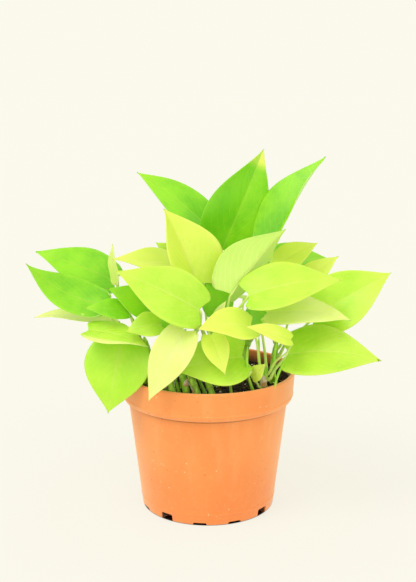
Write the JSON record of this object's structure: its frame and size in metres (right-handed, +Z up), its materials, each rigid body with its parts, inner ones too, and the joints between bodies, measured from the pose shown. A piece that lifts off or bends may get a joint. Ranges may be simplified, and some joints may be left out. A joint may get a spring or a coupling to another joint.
{
  "type": "potted pothos plant",
  "caption": "Young pothos in a round tapered nursery pot: heart-shaped lime and green leaves on arching stalks from short stems, in potting mix, with drain notches round the foot.",
  "frame": {"origin": "middle of the pot's flat underside", "axes": "+Z up along the pot's axis, -Y towards the front of the plant, +X to the right seen from the front; metres"},
  "size_m": [0.3126, 0.2104, 0.316],
  "materials": {
    "terracotta_plastic": "satin moulded terracotta-orange plastic",
    "potting_mix": "dark crumbly peat and bark",
    "stem_skin": "smooth green stem",
    "leaf_lime": "satin lime-green leaf",
    "leaf_yellow": "satin yellow-green leaf",
    "leaf_green": "satin mid-green leaf",
    "leaf_pale": "matt pale green leaf underside"
  },
  "bodies": {
    "root": {"grow_pot": "terracotta_plastic", "potting_soil": "potting_mix", "stem_front_left": "stem_skin", "stem_front": "stem_skin", "stem_front_outer": "stem_skin", "stem_front_low": "stem_skin", "stem_front_inner": "stem_skin", "stem_front_middle": "stem_skin", "stem_left": "stem_skin", "stem_centre_left": "stem_skin", "stem_centre": "stem_skin", "stem_front_right": "stem_skin", "stem_right": "stem_skin", "stem_back_right": "stem_skin", "stem_back_left": "stem_skin", "stem_rear_left": "stem_skin", "stem_back": "stem_skin", "leaf_crown": "leaf_green", "leaf_crown_right": "leaf_green", "leaf_crown_left": "leaf_green", "leaf_upright": "leaf_yellow", "leaf_centre": "leaf_pale", "leaf_front_left": "leaf_lime", "leaf_right": "leaf_lime", "leaf_far_right": "leaf_lime", "leaf_low_right": "leaf_lime", "leaf_mid_right": "leaf_lime", "leaf_small_right": "leaf_yellow", "leaf_front_centre": "leaf_yellow", "leaf_front_hanging": "leaf_pale", "leaf_young_front": "leaf_yellow", "leaf_low_front": "leaf_lime", "leaf_left_hanging": "leaf_green", "leaf_left_flat": "leaf_lime", "leaf_under_left": "leaf_lime", "leaf_second_left": "leaf_yellow", "leaf_far_left": "leaf_green", "leaf_far_left_low": "leaf_green", "leaf_edge_left": "leaf_pale", "leaf_shaded_left": "leaf_green", "leaf_inner_left": "leaf_green", "leaf_edge_on_left": "leaf_pale", "leaf_tip_left": "leaf_lime", "leaf_back_right": "leaf_green", "leaf_right_inner": "leaf_yellow", "leaf_right_tip": "leaf_yellow", "leaf_shaded_right": "leaf_green", "leaf_shaded_front": "leaf_green", "leaf_centre_shaded": "leaf_green", "leaf_furled": "leaf_pale", "leaf_new_shoot": "leaf_yellow", "leaf_rear_1": "leaf_green", "leaf_rear_2": "leaf_lime", "leaf_rear_3": "leaf_lime", "leaf_rear_4": "leaf_green", "leaf_rear_5": "leaf_lime", "leaf_rear_6": "leaf_yellow", "leaf_rear_7": "leaf_green"}
  },
  "joints": []
}
